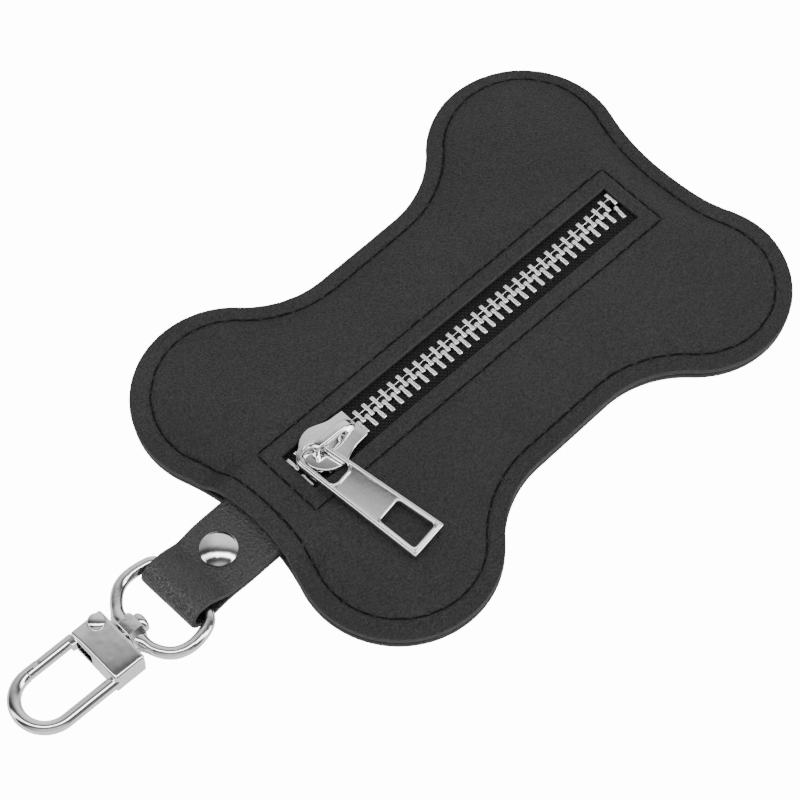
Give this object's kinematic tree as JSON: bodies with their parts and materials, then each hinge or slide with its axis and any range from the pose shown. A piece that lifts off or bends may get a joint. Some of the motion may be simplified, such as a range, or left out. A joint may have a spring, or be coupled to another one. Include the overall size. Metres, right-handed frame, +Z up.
{
  "type": "dog poop bag dispenser",
  "caption": "Flat bone-shaped leather pouch for dog waste bags, with a zipped slot, a riveted strap, a D ring and a swivelling hook with a sprung gate.",
  "frame": {"origin": "middle of the bone outline, on the plane the pouch lies on", "axes": "+X along the pouch away from its strap and hook, +Y across it to the left, +Z up out of the zipped face"},
  "size_m": [0.1779, 0.086, 0.0095],
  "materials": {
    "leather": "fine grained, satin",
    "thread": "waxed thread",
    "tape": "woven",
    "teeth": "bright",
    "nickel": "nickel plated, bright",
    "spring": "drawn wire"
  },
  "bodies": {
    "pouch": {"front_panel": "leather", "back_panel": "leather", "perimeter_stitching": "thread", "frame_stitching": "thread", "strap": "leather", "rivet_cap": "nickel", "rivet_back": "nickel"},
    "slider": {"slider_body": "nickel", "slider_crown": "nickel"},
    "pull": {"pull_tab": "nickel"},
    "row_left": {"tape_left": "tape", "teeth_left": "teeth"},
    "row_right": {"tape_right": "tape", "teeth_right": "teeth"},
    "ring": {"swivel_ring": "nickel"},
    "hook": {"hook_body": "nickel", "swivel_post": "nickel", "gate_pin": "nickel", "gate_spring": "spring"},
    "gate": {"gate": "nickel"}
  },
  "joints": [
    {"name": "slider_slide", "type": "slide", "parent": "pouch", "child": "slider", "axis": [0.9999, -0.014, 0], "range_m": [0, 0.072]},
    {"name": "pull_swing", "type": "hinge", "parent": "slider", "child": "pull", "pos_m": [-0.04, 0.00056, 0.00674], "axis": [-0.001, -0.0697, 0.9976], "range_deg": [-70, 40]},
    {"name": "row_left_part", "type": "slide", "parent": "pouch", "child": "row_left", "axis": [0.014, 0.9999, 0], "range_m": [0, 0.0018], "deforming": ["tape_left", "teeth_left"]},
    {"name": "row_right_part", "type": "slide", "parent": "pouch", "child": "row_right", "axis": [-0.014, -0.9999, 0], "range_m": [0, 0.0018], "deforming": ["tape_right", "teeth_right"]},
    {"name": "ring_swing", "type": "hinge", "parent": "pouch", "child": "ring", "pos_m": [-0.0764, -0.0013, 0.00315], "axis": [0.0384, 0.9993, 0], "range_deg": [-90, 90]},
    {"name": "hook_swivel", "type": "hinge", "parent": "ring", "child": "hook", "pos_m": [-0.09129, -0.00073, 0.00315], "axis": [0.9993, -0.0384, 0], "continuous": true},
    {"name": "gate_hinge", "type": "hinge", "parent": "hook", "child": "gate", "pos_m": [-0.09321, 0.004, 0.00315], "axis": [0, 0, 1], "range_deg": [0, 30], "stiffness_Nm_per_rad": 0.01, "springref_deg": -28.65, "deforming": ["gate_spring"]}
  ],
  "couplings": [
    {"joint": "row_left_part", "follows": "slider_slide", "ratio": 0.0225},
    {"joint": "row_right_part", "follows": "slider_slide", "ratio": 0.0225}
  ]
}
